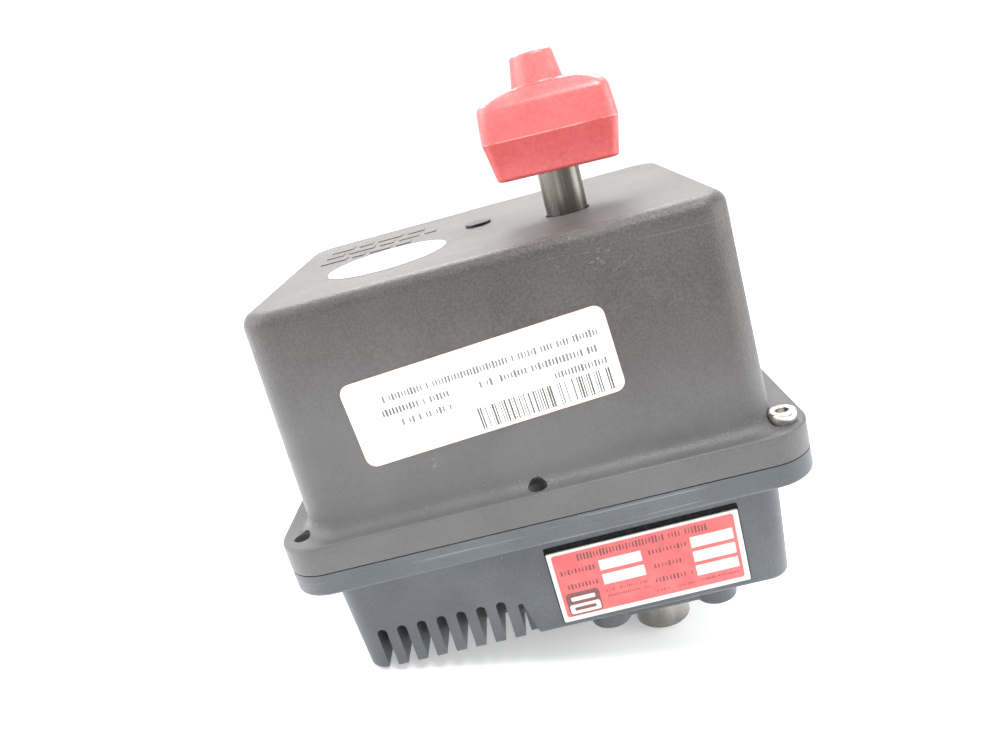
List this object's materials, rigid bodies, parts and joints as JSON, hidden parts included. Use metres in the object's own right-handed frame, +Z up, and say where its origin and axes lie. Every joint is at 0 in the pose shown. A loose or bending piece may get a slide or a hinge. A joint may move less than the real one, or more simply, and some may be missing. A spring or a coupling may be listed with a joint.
{
  "type": "motorized valve actuator",
  "caption": "Motor-driven quarter-turn valve actuator in a two-part moulded housing, with a push-to-declutch override handle on top and a square drive socket below.",
  "frame": {"origin": "the drive axis at the valve mounting face, the plane of the four threaded inserts", "axes": "+Z up along the drive axis to the override handle, -Y to the front face with the rating plate, +X to the right seen from the front"},
  "size_m": [0.158, 0.125, 0.1948],
  "materials": {
    "cover_plastic": "satin, finely textured",
    "base_plastic": "satin",
    "red_plastic": "semi-gloss",
    "stainless": "turned",
    "zinc_steel": "zinc plated",
    "gear_steel": "machined, oiled",
    "spring_steel": "bright wire",
    "bronze": "sintered",
    "brass": "machined",
    "seal_rubber": "matte",
    "plate_aluminium": "mill",
    "cast_alloy": "die cast",
    "motor_paint": "semi-gloss",
    "cream_nylon": "satin",
    "cam_nylon": "satin",
    "switch_black": "satin",
    "white_label": "satin film",
    "red_plate": "printed"
  },
  "bodies": {
    "housing": {"cover": "cover_plastic", "top_plug": "seal_rubber", "base": "base_plastic", "mount_pad": "base_plastic", "cover_gasket": "seal_rubber", "cover_screws": "stainless", "mount_inserts": "brass", "entry_insert": "cast_alloy", "lower_bush": "bronze", "lower_seal": "seal_rubber", "cover_bush": "bronze", "cover_seal": "seal_rubber", "idler_pin": "gear_steel", "gear_plate": "plate_aluminium", "plate_screws": "zinc_steel", "plate_bush": "bronze", "motor_gearbox": "cast_alloy", "motor_screws": "zinc_steel", "motor_can": "motor_paint", "motor_end_cap": "switch_black", "motor_tabs": "brass", "switch_lower": "switch_black", "switch_upper": "switch_black", "switch_tabs": "brass", "switch_shims": "cream_nylon", "switch_screws": "zinc_steel", "capacitor": "cream_nylon", "capacitor_straps": "zinc_steel", "strap_rivets": "zinc_steel", "terminal_block": "switch_black", "terminal_screws": "zinc_steel", "block_screws": "zinc_steel", "ground_screw": "brass", "nameplate_backing": "seal_rubber", "nameplate": "red_plate", "barcode_label": "white_label", "round_sticker": "white_label"},
    "output": {"drive_sleeve": "stainless", "output_gear": "gear_steel", "clutch_ring": "gear_steel", "clutch_rivets": "zinc_steel", "cam_lower": "cam_nylon", "cam_upper": "cam_nylon", "cam_screws": "zinc_steel"},
    "override": {"override_shaft": "stainless", "cross_pin": "gear_steel", "shaft_clip": "spring_steel", "return_spring": "spring_steel", "handle": "red_plastic", "handle_screw": "zinc_steel"},
    "idler": {"idler_gear": "gear_steel", "idler_pinion": "gear_steel"},
    "motor_output": {"motor_pinion": "gear_steel", "motor_shaft": "gear_steel"},
    "plunger_a": {"plunger_lower": "cream_nylon"},
    "plunger_b": {"plunger_upper": "cream_nylon"}
  },
  "joints": [
    {"name": "output_turn", "type": "hinge", "parent": "housing", "child": "output", "pos_m": [0, 0, 0], "axis": [0, 0, 1], "range_deg": [0, 90]},
    {"name": "handle_push", "type": "slide", "parent": "output", "child": "override", "axis": [0, 0, -1], "range_m": [0, 0.006], "stiffness_N_per_m": 1500, "springref_m": -0.004, "deforming": ["return_spring"]},
    {"name": "idler_turn", "type": "hinge", "parent": "housing", "child": "idler", "pos_m": [-0.02999, 0.01548, 0], "axis": [0, 0, 1], "range_deg": [-316, 1]},
    {"name": "motor_turn", "type": "hinge", "parent": "housing", "child": "motor_output", "pos_m": [-0.05899, 0.01548, 0], "axis": [0, 0, 1], "range_deg": [-1, 991]},
    {"name": "plunger_a_slide", "type": "slide", "parent": "housing", "child": "plunger_a", "axis": [0, -1, 0], "range_m": [-0.00001, 0.00151]},
    {"name": "plunger_b_slide", "type": "slide", "parent": "housing", "child": "plunger_b", "axis": [0, 1, 0], "range_m": [-0.00001, 0.00151]}
  ],
  "couplings": [
    {"joint": "idler_turn", "follows": "output_turn", "ratio": -3.5},
    {"joint": "motor_turn", "follows": "output_turn", "ratio": 11},
    {"joint": "plunger_a_slide", "follows": "output_turn", "m_per_rad": 0.000954},
    {"joint": "plunger_b_slide", "follows": "output_turn", "m_per_rad": 0.000954}
  ]
}
